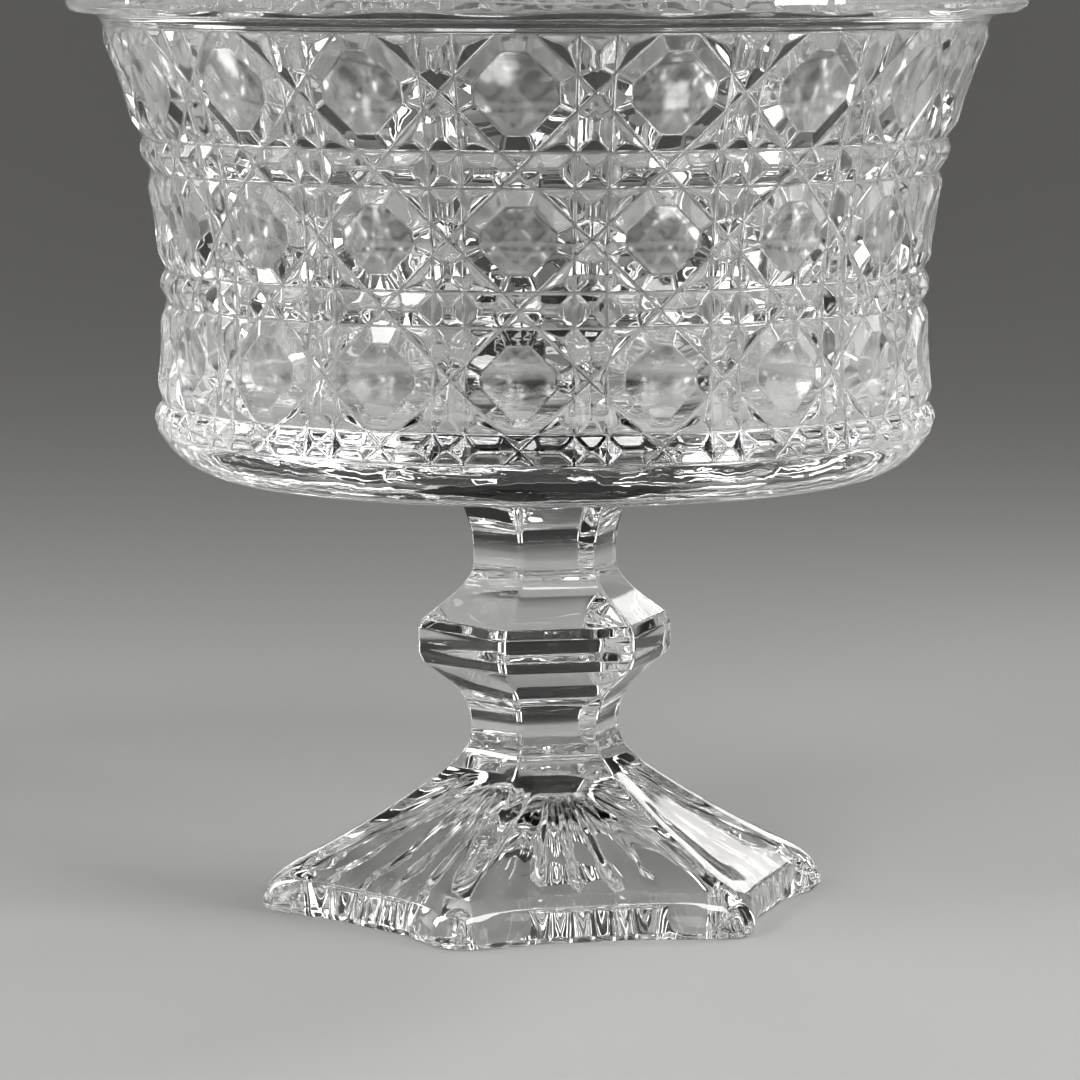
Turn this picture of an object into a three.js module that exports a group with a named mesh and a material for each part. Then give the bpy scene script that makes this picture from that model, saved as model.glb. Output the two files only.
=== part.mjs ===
// Pedestal bowl in clear crystal: a cane-cut drum bowl bonded to a hexagonal stem with a hollow, lobed foot.
// Millimetres and degrees, +Z up, rest face at z = 0, bowl and stem centred on the Z axis.
// Directions round the axis are measured from the front (-Y) towards the right (+X).
import * as THREE from "three";

// Bowl
const RIM_RADIUS = 124.7;
const WAIST_RADIUS = 98.1; // at the bottom of the grooves, where the wall is narrowest
const WAIST_RISE = 30; // height of the waist above the lowest groove
const WALL = 8; // from the bottom of the grooves to the smooth inside
const FLOOR_THICKNESS = 18.5; // at the middle of the bowl
const FLOOR_CORNER = 14; // radius of the hollow corner between the floor and the inside wall
const INSIDE_DRAFT = 0.05; // how much the inside wall opens per millimetre below the waist
const BASE_RISE = 13; // height of the smooth rounded base below the lowest groove
const BASE_ROUNDING = 22.7; // width of the rounded stretch of the base, seen from below
const BASE_SHOULDER = 6.8; // how far inside the lowest groove the two tangents of the rounding meet
const UNDERSIDE_FALL = 0.6; // fall of the underside from the rounding to the flat seat
const SEAT_MARGIN = 3.5; // how far the flat seat under the bowl reaches past the corners of the stem's top

// Cane pattern: rows of octagons and, below each row, a band that the diagonals cross in
const CELLS = 18;
const ROW_HEIGHTS = [25.8, 25.3, 28.6]; // from the base up
const BAND_HEIGHTS = [7.5, 8.6, 8.8]; // from the base up
const COLUMN_WIDTH = 7.9; // width of the upright between two octagons, at the waist
const BEVEL_WIDTH = 4.4; // from the bottom of a groove to the edge of a flat
const BEVEL_RISE = 1.9; // depth of a groove below that edge
const BUTTON_DISH = 0.65; // how far the middle of an octagon lies below its edge

// Rim
const RIM_HEIGHT = 10.4; // from the top groove to the top of the rim
const RIM_OVERHANG = 10.5; // how far the rim stands out over the top groove
const RIM_EDGE_INSET = 2; // how far the lower edge of the rim lies inside its widest line
const RIM_EDGE_HEIGHT = 1.6; // height of that edge
const RIM_TOP_ROUND = 2; // rounding of the two upper edges of the rim
const COVE_HEIGHT = 3.4; // from the top groove to the underside of the rim
const COVE_FOOT = 0.7; // how far the foot of the cove stands out and up from the top groove
const COVE_SLOPE = 0.4; // rise of the underside of the rim towards its edge
const RIM_TURN = -2.3; // the rim's uprights are turned by this much from the bowl's columns
const RIM_UPRIGHT_ANGLE = 3; // width of a round upright between two flats of the rim

// Bond between the bowl and the stem
const BOND_THICKNESS = 0.2;
const BOND_MARGIN = 0.4; // the bond stops this far inside the edge of the stem's top

// Pedestal: radii go to the corners of its hexagon
const SIDES = 6;
const PEDESTAL_TURN = -13.9; // direction of the corner nearest to the front
const STEM_TOP_RADIUS = 26.5;
const STEM_TOP_SWEEP = 19.2; // height over which the upper neck opens out to the stem's top
const STEM_TOP_SWEEP_TURN = 8.7; // height in that sweep at which its two tangents meet
const UPPER_NECK_RADIUS = 19.3;
const UPPER_NECK_LENGTH = 3.1;
const UPPER_NECK_SWEEP = 9.5; // from the knop's upper bevel to the upper neck
const KNOP_RADIUS = 34.2;
const KNOP_GIRDLE = 6.2; // height of the upright faces round the knop
const KNOP_BEVEL_INSET = 7.9; // main bevels, from the girdle's radius to where the sweep to a neck begins
const KNOP_BEVEL_HEIGHT = 7.5;
const KNOP_EDGE_INSET = 1.3; // narrow bevels between the girdle and the main bevels
const KNOP_EDGE_HEIGHT = 2.6;
const LOWER_NECK_SWEEP = 12.7; // from the lower neck to the knop's lower bevel
const LOWER_NECK_RADIUS = 19.9;
const COLLAR_SWEEP = 8.2; // from the collar to the lower neck
const COLLAR_SWEEP_TURN = 3.6; // height in that sweep at which its two tangents meet
const COLLAR_RADIUS = 24;
const COLLAR_STEP = 2.2; // the collar's slope, outwards and down to the foot
const FOOT_HEIGHT = 38.2; // up to the collar
const FOOT_RADIUS = 76.3;
const FOOT_SAG = 2.2; // how far the corner ridges of the foot sag below a straight line
const FOOT_EDGE_HEIGHT = 1.5; // height of the rounded lower edge of the foot
const FOOT_EDGE_INSET = 1.2; // how far the rest face stops inside the foot's edge
const PANEL_INSET = 14.4; // how far the middle of a side panel lies inside the circle through the lobes' tips
const NOSE_LENGTH = 11.9; // length over which a lobe rounds down to the edge
const NOSE_HEIGHT = 14;
const NOSE_TURN = 8.4; // height on the edge at which the two tangents of that rounding meet
const LOBE_HALF_ANGLE = 16.5; // from the middle of a lobe to where its side meets the panel
const LOBE_TIP_ANGLE = 5; // from the middle of a lobe to where its rounded tip meets its side
const FOOT_WALL = 7.8; // thickness of the foot's wall at the middle of a side, on the rest face
const HOLLOW_DRAFT = 1; // how much the upright wall of the hollow leans in
const HOLLOW_WALL_HEIGHT = 7;
const HOLLOW_HEIGHT = 25;
const HOLLOW_SHOULDER_RADIUS = 31.2; // where the two tangents of the hollow's dome meet
const HOLLOW_CROWN_RADIUS = 7.5; // flat at the top of the hollow

// Fineness of the round stretches
const ROUND_STEPS = 90;
const CURVE_STEPS = 5;
const INSIDE_STEPS = 8;

// Sizes that follow from the ones above
const LOWER_NECK = FOOT_HEIGHT + COLLAR_SWEEP;
const KNOP_BOTTOM = LOWER_NECK + LOWER_NECK_SWEEP;
const GIRDLE_BOTTOM = KNOP_BOTTOM + KNOP_BEVEL_HEIGHT;
const GIRDLE_TOP = GIRDLE_BOTTOM + KNOP_GIRDLE;
const KNOP_TOP = GIRDLE_TOP + KNOP_BEVEL_HEIGHT;
const UPPER_NECK_BOTTOM = KNOP_TOP + UPPER_NECK_SWEEP;
const UPPER_NECK_TOP = UPPER_NECK_BOTTOM + UPPER_NECK_LENGTH;
const PEDESTAL_HEIGHT = UPPER_NECK_TOP + STEM_TOP_SWEEP;
const BOWL_BOTTOM = PEDESTAL_HEIGHT + BOND_THICKNESS;
const SEAT_RADIUS = STEM_TOP_RADIUS + SEAT_MARGIN;
const PANEL_DISTANCE = FOOT_RADIUS - PANEL_INSET; // from the axis, at the foot's edge
const PATTERN_BOTTOM = BOWL_BOTTOM + BASE_RISE;
const PATTERN_TOP = PATTERN_BOTTOM + sum(ROW_HEIGHTS) + sum(BAND_HEIGHTS);
const RIM_TOP = PATTERN_TOP + RIM_HEIGHT;
const WAIST_HEIGHT = PATTERN_BOTTOM + WAIST_RISE;
const FLOOR_HEIGHT = BOWL_BOTTOM + FLOOR_THICKNESS;
const PITCH = radians(360 / CELLS);
const COLUMN_HALF = COLUMN_WIDTH / 2 / WAIST_RADIUS; // as an angle
const COLUMN_EDGE = PITCH / 2 - COLUMN_HALF; // from the middle of an octagon to the column beside it

// The wall flares with the square of the height above its waist.
const TOP_GROOVE_RADIUS = RIM_RADIUS - RIM_OVERHANG;
const FLARE = (TOP_GROOVE_RADIUS - WAIST_RADIUS) / (PATTERN_TOP - WAIST_HEIGHT) ** 2;
const ROUND_SHARE = 1 - Math.SQRT1_2; // where the middle of a round edge lies, as a share of its radius

function sum(values) {
  return values.reduce((total, value) => total + value, 0);
}

function radians(degrees) {
  return (degrees * Math.PI) / 180;
}

function mix(from, to, share) {
  return from + (to - from) * share;
}

/** Radius of the wall at the bottom of the grooves. */
function grooveRadius(z) {
  return WAIST_RADIUS + FLARE * (z - WAIST_HEIGHT) ** 2;
}

/** Radius of the smooth inside above its rounded corner; it never narrows upwards. */
function insideRadius(z) {
  const below = Math.max(0, WAIST_HEIGHT - z);
  return grooveRadius(Math.max(z, WAIST_HEIGHT)) - WALL - INSIDE_DRAFT * below;
}

/** A closed surface that is built up from faces; corners that coincide are shared. */
class Skin {
  constructor() {
    this.positions = [];
    this.faces = [];
    this.indexOf = new Map();
  }

  corner({ angle, radius, z }) {
    const place = [radius * Math.sin(angle), -radius * Math.cos(angle), z];
    const key = place.map((value) => Math.round(value * 1000)).join(" ");
    if (!this.indexOf.has(key)) {
      this.indexOf.set(key, this.positions.length / 3);
      this.positions.push(...place);
    }
    return this.indexOf.get(key);
  }

  triangle(a, b, c) {
    const face = [a, b, c].map((point) => this.corner(point));
    if (new Set(face).size === 3) this.faces.push(...face);
  }

  /** Fills an outline from a centre; the outline runs the way that makes the face look up or out. */
  fan(centre, outline) {
    outline.forEach((point, i) => this.triangle(centre, point, outline[(i + 1) % outline.length]));
  }

  /** Fills the first ring of a skin, seen from below. */
  close(centre, ring) {
    this.fan(centre, [...ring].reverse());
  }

  /** Joins two closed rings, the second one further along the skin; each runs once round the axis. */
  join(ring, next) {
    const first = unwound(ring, ring[0].angle);
    const second = unwound(next, ring[0].angle);
    let i = 0;
    let j = 0;
    while (i < ring.length || j < next.length) {
      const stepFirst = j === next.length || (i < ring.length && first[i + 1].angle <= second[j + 1].angle);
      if (stepFirst) {
        this.triangle(first[i], first[i + 1], second[j]);
        i += 1;
      } else {
        this.triangle(first[i], second[j + 1], second[j]);
        j += 1;
      }
    }
  }

  joinAll(rings) {
    rings.slice(1).forEach((ring, i) => this.join(rings[i], ring));
  }

  mesh(name, material) {
    const geometry = new THREE.BufferGeometry();
    geometry.setAttribute("position", new THREE.Float32BufferAttribute(this.positions, 3));
    geometry.setIndex(this.faces);
    geometry.computeVertexNormals();
    const mesh = new THREE.Mesh(geometry, material);
    mesh.name = name;
    return mesh;
  }
}

/** A ring's points with rising angles, from the one nearest to a start angle once round to the same one. */
function unwound(ring, start) {
  const turn = 2 * Math.PI;
  const distance = (point) => Math.abs(point.angle - start - turn * Math.round((point.angle - start) / turn));
  const nearest = ring.reduce((best, point, i) => (distance(point) < distance(ring[best]) ? i : best), 0);
  const shift = turn * Math.round((ring[nearest].angle - start) / turn);
  return Array.from({ length: ring.length + 1 }, (_, k) => {
    const index = nearest + k;
    const point = ring[index % ring.length];
    return { ...point, angle: point.angle - shift + turn * Math.floor(index / ring.length) };
  });
}

function circle(radius, z, steps = ROUND_STEPS) {
  return Array.from({ length: steps }, (_, i) => ({ angle: (2 * Math.PI * i) / steps, radius, z }));
}

function onAxis(z) {
  return { angle: 0, radius: 0, z };
}

/** The points of a profile drawn with x as the radius and y as the height. */
function profile(start, draw) {
  const path = new THREE.Path();
  path.moveTo(...start);
  draw(path);
  return path.getPoints(CURVE_STEPS).map(({ x, y }) => [x, y]);
}

/** The part of a convex outline where keep(point) is not negative; keep is linear in the point. */
function clip(outline, keep) {
  return outline.flatMap((point, i) => {
    const next = outline[(i + 1) % outline.length];
    const here = keep(point);
    const there = keep(next);
    const kept = here >= 0 ? [point] : [];
    if (here < 0 !== there < 0) {
      const share = here / (here - there);
      kept.push([mix(point[0], next[0], share), mix(point[1], next[1], share)]);
    }
    return kept;
  });
}

/**
 * Raises one piece of the cut pattern between its grooves. Each flank is the part of the piece nearest to its
 * own groove, all flanks rise at the same slope, and a piece that is wide enough ends in a flat.
 */
function raisePiece(skin, outline) {
  const middle = outline.reduce((total, [, z]) => total + z / outline.length, 0);
  const unroll = grooveRadius(middle);
  const flatPiece = outline.map(([angle, z]) => [angle * unroll, z]);
  const distances = flatPiece.map(([x, z], i) => {
    const [nextX, nextZ] = flatPiece[(i + 1) % flatPiece.length];
    const length = Math.hypot(nextX - x, nextZ - z);
    return (point) => ((nextX - x) * (point[1] - z) - (nextZ - z) * (point[0] - x)) / length;
  });
  const place = (point) => {
    const nearest = Math.max(0, Math.min(...distances.map((distance) => distance(point))));
    const rise = (BEVEL_RISE * Math.min(nearest, BEVEL_WIDTH)) / BEVEL_WIDTH;
    return { angle: point[0] / unroll, radius: grooveRadius(point[1]) + rise, z: point[1] };
  };
  distances.forEach((own, i) => {
    const others = distances.filter((_, k) => k !== i).map((other) => (point) => other(point) - own(point));
    const limits = [...others, (point) => BEVEL_WIDTH - own(point)];
    const flank = limits.reduce(clip, flatPiece).map(place);
    for (let k = 2; k < flank.length; k += 1) skin.triangle(flank[0], flank[k - 1], flank[k]);
  });
  const insets = distances.map((distance) => (point) => distance(point) - BEVEL_WIDTH);
  const flat = insets.reduce(clip, flatPiece);
  if (flat.length > 2) {
    const centre = [0, 1].map((axis) => flat.reduce((total, point) => total + point[axis] / flat.length, 0));
    const dish = place(centre);
    skin.fan({ ...dish, radius: dish.radius - BUTTON_DISH }, flat.map(place));
  }
}

/** Where the diagonals of a row meet its edges, for the half height of the band that they run on into. */
function diagonalCuts(halfRow, halfBand) {
  const reach = halfRow + halfBand;
  return {
    alongEdge: ((PITCH / 2) * halfBand) / reach, // from the middle of the octagon, as an angle
    upColumn: (reach * COLUMN_HALF) / (PITCH / 2), // from the middle of the row, as a height
  };
}

/** One octagon with its four corner pieces, and the four pieces of the column to its right. */
function raiseRowCell(skin, centre, bottom, top, belowCuts, aboveCuts) {
  const middle = (bottom + top) / 2;
  const side = COLUMN_EDGE;
  const half = COLUMN_HALF;
  const column = centre + PITCH / 2;
  const low = middle - belowCuts.upColumn;
  const high = middle + aboveCuts.upColumn;
  const lowEdge = belowCuts.alongEdge;
  const highEdge = aboveCuts.alongEdge;
  const pieces = [
    [[lowEdge, bottom], [side, low], [side, high], [highEdge, top],
      [-highEdge, top], [-side, high], [-side, low], [-lowEdge, bottom]],
    [[lowEdge, bottom], [side, bottom], [side, low]],
    [[side, high], [side, top], [highEdge, top]],
    [[-highEdge, top], [-side, top], [-side, high]],
    [[-side, low], [-side, bottom], [-lowEdge, bottom]],
  ].map((piece) => piece.map(([angle, z]) => [centre + angle, z]));
  const columnPieces = [
    [[0, middle], [-half, high], [-half, low]],
    [[0, middle], [half, low], [half, high]],
    [[0, middle], [half, high], [half, top], [-half, top], [-half, high]],
    [[0, middle], [-half, low], [-half, bottom], [half, bottom], [half, low]],
  ].map((piece) => piece.map(([angle, z]) => [column + angle, z]));
  [...pieces, ...columnPieces].forEach((piece) => raisePiece(skin, piece));
}

/** The pieces round a crossing of the diagonals in a band, and the square in the column to its right. */
function raiseBandCell(skin, centre, bottom, top, lowEdge, highEdge) {
  const middle = (bottom + top) / 2;
  const side = COLUMN_EDGE;
  const pieces = [
    [[0, middle], [highEdge, top], [-highEdge, top]],
    [[0, middle], [-lowEdge, bottom], [lowEdge, bottom]],
    [[0, middle], [lowEdge, bottom], [side, bottom], [side, top], [highEdge, top]],
    [[0, middle], [-highEdge, top], [-side, top], [-side, bottom], [-lowEdge, bottom]],
    [[side, bottom], [PITCH - side, bottom], [PITCH - side, top], [side, top]],
  ];
  pieces.forEach((piece) => raisePiece(skin, piece.map(([angle, z]) => [centre + angle, z])));
}

/** The groove line between two parts of the pattern, through all corners that the pieces have on it. */
function grooveRing(z, edge) {
  const radius = grooveRadius(z);
  const offsets = [-COLUMN_EDGE, -edge, edge, COLUMN_EDGE];
  return Array.from({ length: CELLS }, (_, cell) =>
    offsets.map((offset) => ({ angle: cell * PITCH + offset, radius, z })),
  ).flat();
}

/** Raises the whole pattern on the skin and gives its lowest and highest groove. */
function raisePattern(skin) {
  let bottom = PATTERN_BOTTOM;
  let lowest;
  let cuts;
  ROW_HEIGHTS.forEach((rowHeight, row) => {
    const bandTop = bottom + BAND_HEIGHTS[row];
    const rowTop = bandTop + rowHeight;
    const bandAbove = BAND_HEIGHTS[row + 1] ?? BAND_HEIGHTS[row];
    const below = diagonalCuts(rowHeight / 2, BAND_HEIGHTS[row] / 2);
    const above = diagonalCuts(rowHeight / 2, bandAbove / 2);
    const lowEdge = cuts?.alongEdge ?? below.alongEdge;
    lowest ??= grooveRing(bottom, lowEdge);
    for (let cell = 0; cell < CELLS; cell += 1) {
      raiseBandCell(skin, cell * PITCH, bottom, bandTop, lowEdge, below.alongEdge);
      raiseRowCell(skin, cell * PITCH, bandTop, rowTop, below, above);
    }
    cuts = above;
    bottom = rowTop;
  });
  return { lowest, highest: grooveRing(bottom, cuts.alongEdge) };
}

/** A ring of the rim: flats between round uprights, the uprights at the given radius. */
function rimRing(radius, z) {
  const flatHalf = (PITCH - radians(RIM_UPRIGHT_ANGLE)) / 2;
  const offsets = [-flatHalf, -flatHalf / 2, 0, flatHalf / 2, flatHalf, PITCH / 2];
  return Array.from({ length: CELLS }, (_, cell) =>
    offsets.map((offset) => {
      const onFlat = Math.abs(offset) <= flatHalf;
      const share = onFlat ? Math.cos(flatHalf) / Math.cos(offset) : 1;
      return { angle: cell * PITCH + radians(RIM_TURN) + offset, radius: radius * share, z };
    }),
  ).flat();
}

function buildBowl(material) {
  const skin = new Skin();
  const lowestRadius = grooveRadius(PATTERN_BOTTOM);
  const roundingRadius = lowestRadius - BASE_ROUNDING;
  const underside = profile([SEAT_RADIUS, BOWL_BOTTOM], (path) => {
    const edge = BOWL_BOTTOM + UNDERSIDE_FALL;
    path.lineTo(roundingRadius, edge);
    path.quadraticCurveTo(lowestRadius - BASE_SHOULDER, edge, lowestRadius, PATTERN_BOTTOM);
  });
  const base = underside.slice(0, -1).map(([radius, z]) => circle(radius, z));
  skin.close(onAxis(BOWL_BOTTOM), base[0]);

  const { lowest, highest } = raisePattern(skin);
  skin.joinAll([...base, lowest]);

  const coveRadius = TOP_GROOVE_RADIUS + COVE_FOOT;
  const coveTop = PATTERN_TOP + COVE_HEIGHT;
  const cove = profile([coveRadius, PATTERN_TOP + COVE_FOOT], (path) => {
    path.quadraticCurveTo(coveRadius, coveTop - COVE_SLOPE, RIM_RADIUS - RIM_EDGE_INSET, coveTop);
  });
  const outerEdge = [
    rimRing(RIM_RADIUS, coveTop + RIM_EDGE_HEIGHT),
    rimRing(RIM_RADIUS, RIM_TOP - RIM_TOP_ROUND),
    rimRing(RIM_RADIUS - ROUND_SHARE * RIM_TOP_ROUND, RIM_TOP - ROUND_SHARE * RIM_TOP_ROUND),
    circle(RIM_RADIUS - 2 * RIM_TOP_ROUND, RIM_TOP),
  ];

  const wallTop = RIM_TOP - RIM_TOP_ROUND;
  const cornerTop = FLOOR_HEIGHT + FLOOR_CORNER;
  const floorRadius = insideRadius(cornerTop) - FLOOR_CORNER;
  const inside = profile([insideRadius(RIM_TOP) + RIM_TOP_ROUND, RIM_TOP], (path) => {
    path.quadraticCurveTo(insideRadius(RIM_TOP), RIM_TOP, insideRadius(wallTop), wallTop);
    for (let step = 1; step <= INSIDE_STEPS; step += 1) {
      const z = mix(wallTop, cornerTop, step / INSIDE_STEPS);
      path.lineTo(insideRadius(z), z);
    }
    path.quadraticCurveTo(insideRadius(FLOOR_HEIGHT), FLOOR_HEIGHT, floorRadius, FLOOR_HEIGHT);
  });
  const coveRings = cove.map(([radius, z]) => circle(radius, z));
  const insideRings = inside.map(([radius, z]) => circle(radius, z));
  skin.joinAll([highest, ...coveRings, ...outerEdge, ...insideRings]);
  skin.fan(onAxis(FLOOR_HEIGHT), insideRings.at(-1));
  return skin.mesh("bowl", material);
}

/** A hexagon with its corners at the given radius. */
function hexagon(radius, z) {
  return Array.from({ length: SIDES }, (_, i) => ({
    angle: radians(PEDESTAL_TURN) + (2 * Math.PI * i) / SIDES,
    radius,
    z,
  }));
}

/** A ring of the foot: a hexagon whose corners stand forward as round-nosed lobes between straight panels. */
function footRing(radius, z, lobing) {
  const halfSide = Math.PI / SIDES;
  const lobeSide = radians(LOBE_HALF_ANGLE);
  const lobeTip = radians(LOBE_TIP_ANGLE);
  const plain = (angle) => Math.cos(halfSide) / Math.cos(halfSide - angle);
  const lobed = PANEL_DISTANCE / FOOT_RADIUS / Math.cos(halfSide - lobeSide);
  const sideShare = mix(plain(lobeSide), lobed, lobing);
  const points = [
    [-lobeSide, sideShare],
    [-lobeTip, plain(lobeTip)],
    [0, 1],
    [lobeTip, plain(lobeTip)],
    [lobeSide, sideShare],
  ];
  return hexagon(radius, z).flatMap((corner) =>
    points.map(([offset, part]) => ({ angle: corner.angle + offset, radius: radius * part, z })),
  );
}

/** The stem from its top down to the collar. Each main bevel of the knop runs on into the sweep to a neck. */
function stemProfile() {
  const bevelRadius = KNOP_RADIUS - KNOP_BEVEL_INSET;
  const edgeRadius = KNOP_RADIUS - KNOP_EDGE_INSET;
  const bevelSlope = (KNOP_BEVEL_HEIGHT - KNOP_EDGE_HEIGHT) / (KNOP_BEVEL_INSET - KNOP_EDGE_INSET);
  const upper = UPPER_NECK_RADIUS;
  const lower = LOWER_NECK_RADIUS;
  return profile([STEM_TOP_RADIUS, PEDESTAL_HEIGHT], (path) => {
    path.quadraticCurveTo(upper, UPPER_NECK_TOP + STEM_TOP_SWEEP_TURN, upper, UPPER_NECK_TOP);
    path.lineTo(upper, UPPER_NECK_BOTTOM);
    path.quadraticCurveTo(upper, KNOP_TOP + bevelSlope * (bevelRadius - upper), bevelRadius, KNOP_TOP);
    path.lineTo(edgeRadius, GIRDLE_TOP + KNOP_EDGE_HEIGHT);
    path.lineTo(KNOP_RADIUS, GIRDLE_TOP);
    path.lineTo(KNOP_RADIUS, GIRDLE_BOTTOM);
    path.lineTo(edgeRadius, GIRDLE_BOTTOM - KNOP_EDGE_HEIGHT);
    path.lineTo(bevelRadius, KNOP_BOTTOM);
    path.quadraticCurveTo(lower, KNOP_BOTTOM - bevelSlope * (bevelRadius - lower), lower, LOWER_NECK);
    path.quadraticCurveTo(lower, FOOT_HEIGHT + COLLAR_SWEEP_TURN, COLLAR_RADIUS, FOOT_HEIGHT);
  });
}

function buildPedestal(material) {
  const skin = new Skin();
  const footTop = [COLLAR_RADIUS + COLLAR_STEP, FOOT_HEIGHT - COLLAR_STEP];
  const nose = [FOOT_RADIUS - NOSE_LENGTH, NOSE_HEIGHT];
  const halfway = [(footTop[0] + nose[0]) / 2, (footTop[1] + nose[1]) / 2];
  const foot = profile(footTop, (path) => {
    path.quadraticCurveTo(halfway[0], halfway[1] - FOOT_SAG, ...nose);
    path.quadraticCurveTo(FOOT_RADIUS, NOSE_TURN, FOOT_RADIUS, FOOT_EDGE_HEIGHT);
    path.lineTo(FOOT_RADIUS - FOOT_EDGE_INSET, 0);
  });
  const footRings = foot.map(([radius, z]) => {
    const lobing = Math.min(1, (radius - COLLAR_RADIUS) / (nose[0] - COLLAR_RADIUS));
    return footRing(radius, z, lobing);
  });

  const hollowRadius = (PANEL_DISTANCE - FOOT_WALL) / Math.cos(Math.PI / SIDES);
  const hollow = profile([hollowRadius, 0], (path) => {
    path.lineTo(hollowRadius - HOLLOW_DRAFT, HOLLOW_WALL_HEIGHT);
    path.quadraticCurveTo(HOLLOW_SHOULDER_RADIUS, HOLLOW_HEIGHT, HOLLOW_CROWN_RADIUS, HOLLOW_HEIGHT);
  });

  const stemRings = stemProfile().map(([radius, z]) => hexagon(radius, z));
  const hollowRings = hollow.map(([radius, z]) => hexagon(radius, z));
  const rings = [...stemRings, ...footRings, ...hollowRings].reverse();
  skin.close(onAxis(HOLLOW_HEIGHT), rings[0]);
  skin.joinAll(rings);
  skin.fan(onAxis(PEDESTAL_HEIGHT), rings.at(-1));
  return skin.mesh("pedestal", material);
}

function buildBond(material) {
  const skin = new Skin();
  const edge = STEM_TOP_RADIUS - BOND_MARGIN;
  const lower = hexagon(edge, PEDESTAL_HEIGHT);
  const upper = hexagon(edge, BOWL_BOTTOM);
  skin.close(onAxis(PEDESTAL_HEIGHT), lower);
  skin.join(lower, upper);
  skin.fan(onAxis(BOWL_BOTTOM), upper);
  return skin.mesh("bond", material);
}

const crystal = new THREE.MeshStandardMaterial({ color: 0xf4f7f7, roughness: 0.03, metalness: 0 });
const clearBond = new THREE.MeshStandardMaterial({ color: 0xeef1ee, roughness: 0.2, metalness: 0 });

const group = new THREE.Group();
group.name = "pedestal_bowl";
group.add(buildBowl(crystal), buildBond(clearBond), buildPedestal(crystal));

export default group;
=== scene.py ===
"""Looks of the pedestal bowl: pressed and cut crystal with softly rounded edges, on a pale studio floor.

Shapes are worked out in millimetres, as radius, height and direction round the axis. Directions are measured
from the front (-Y) towards the right (+X). Meshes are written in metres, in the frame of the CAD model.
"""

import math

import bpy
import numpy as np
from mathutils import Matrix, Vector


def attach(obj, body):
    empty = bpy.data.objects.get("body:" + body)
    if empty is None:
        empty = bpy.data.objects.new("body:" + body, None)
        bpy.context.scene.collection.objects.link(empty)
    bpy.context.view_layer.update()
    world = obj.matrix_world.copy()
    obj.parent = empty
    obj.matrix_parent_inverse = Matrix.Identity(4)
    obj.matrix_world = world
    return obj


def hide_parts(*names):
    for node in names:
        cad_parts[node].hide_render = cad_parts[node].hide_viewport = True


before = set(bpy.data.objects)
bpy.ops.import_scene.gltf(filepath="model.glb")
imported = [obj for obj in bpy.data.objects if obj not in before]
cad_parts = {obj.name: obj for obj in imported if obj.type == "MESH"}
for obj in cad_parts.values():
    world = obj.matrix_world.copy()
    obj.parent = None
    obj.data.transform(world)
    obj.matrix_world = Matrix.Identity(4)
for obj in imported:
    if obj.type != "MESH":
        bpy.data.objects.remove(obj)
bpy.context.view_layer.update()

MM = 0.001

# Bowl
RIM_RADIUS = 124.7
WAIST_RADIUS = 98.1
WAIST_RISE = 30
WALL = 8
FLOOR_THICKNESS = 18.5
FLOOR_CORNER = 14
INSIDE_DRAFT = 0.05
BASE_RISE = 13
BASE_ROUNDING = 22.7
BASE_SHOULDER = 6.8
UNDERSIDE_FALL = 0.6
SEAT_MARGIN = 3.5

# Cane pattern
CELLS = 18
ROW_HEIGHTS = (25.8, 25.3, 28.6)
BAND_HEIGHTS = (7.5, 8.6, 8.8)
COLUMN_WIDTH = 7.9
BEVEL_WIDTH = 4.4
BEVEL_RISE = 1.9
BUTTON_DISH = 1.0
GROOVE_SOFTNESS = 0.6  # from the middle of a groove to where its flank is straight
RIDGE_SOFTNESS = 1.0  # the same on each side of a ridge
BRINK_SOFTNESS = 0.5  # the same on the outer side of a button's brink
FLANK_CROWN = 0.8  # how far a flank is crowned, as a share of its slope
HIP_SOFTNESS = 1.0  # width of the softened strip on each side of an edge between two flanks
HIP_LIMIT = 0.3  # the most that such a strip takes of a flank's width
BUTTON_RINGS = (1, 0.93, 0.8, 0.6, 0.4, 0.2, 0)  # rings of an octagon's button, as shares of its outline
BOWL_COLUMNS = 16  # columns of the smooth surfaces' grid per cell of the pattern
RIM_COLUMNS = 24

# Rim
RIM_HEIGHT = 10.4
RIM_OVERHANG = 10.5
RIM_EDGE_INSET = 2
RIM_EDGE_HEIGHT = 1.6
RIM_TOP_ROUND = 2
COVE_HEIGHT = 3.4
COVE_FOOT = 0.7
COVE_SLOPE = 0.4
COVE_START = 0.2  # how far the cove starts from the highest groove
RIM_SEAM = 1  # between two rings of points on the flat of the rim, which are joined there
RIM_TURN = math.radians(-2.3)
RIM_UPRIGHT_ANGLE = math.radians(3)

# Bond
BOND_THICKNESS = 0.2
BOND_MARGIN = 0.4

# Pedestal
SIDES = 6
PEDESTAL_TURN = math.radians(-13.9)
STEM_TOP_RADIUS = 26.5
STEM_TOP_SWEEP = 19.2
STEM_TOP_SWEEP_TURN = 8.7
UPPER_NECK_RADIUS = 19.3
UPPER_NECK_LENGTH = 3.1
UPPER_NECK_SWEEP = 9.5
KNOP_RADIUS = 34.2
KNOP_GIRDLE = 6.2
KNOP_BEVEL_INSET = 7.9
KNOP_BEVEL_HEIGHT = 7.5
KNOP_EDGE_INSET = 1.3
KNOP_EDGE_HEIGHT = 2.6
LOWER_NECK_SWEEP = 12.7
LOWER_NECK_RADIUS = 19.9
COLLAR_SWEEP = 8.2
COLLAR_SWEEP_TURN = 3.6
COLLAR_RADIUS = 24
COLLAR_STEP = 2.2
FOOT_HEIGHT = 38.2
FOOT_RADIUS = 76.3
FOOT_SAG = 2.2
FOOT_EDGE_HEIGHT = 1.5
FOOT_EDGE_INSET = 1.2
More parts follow.
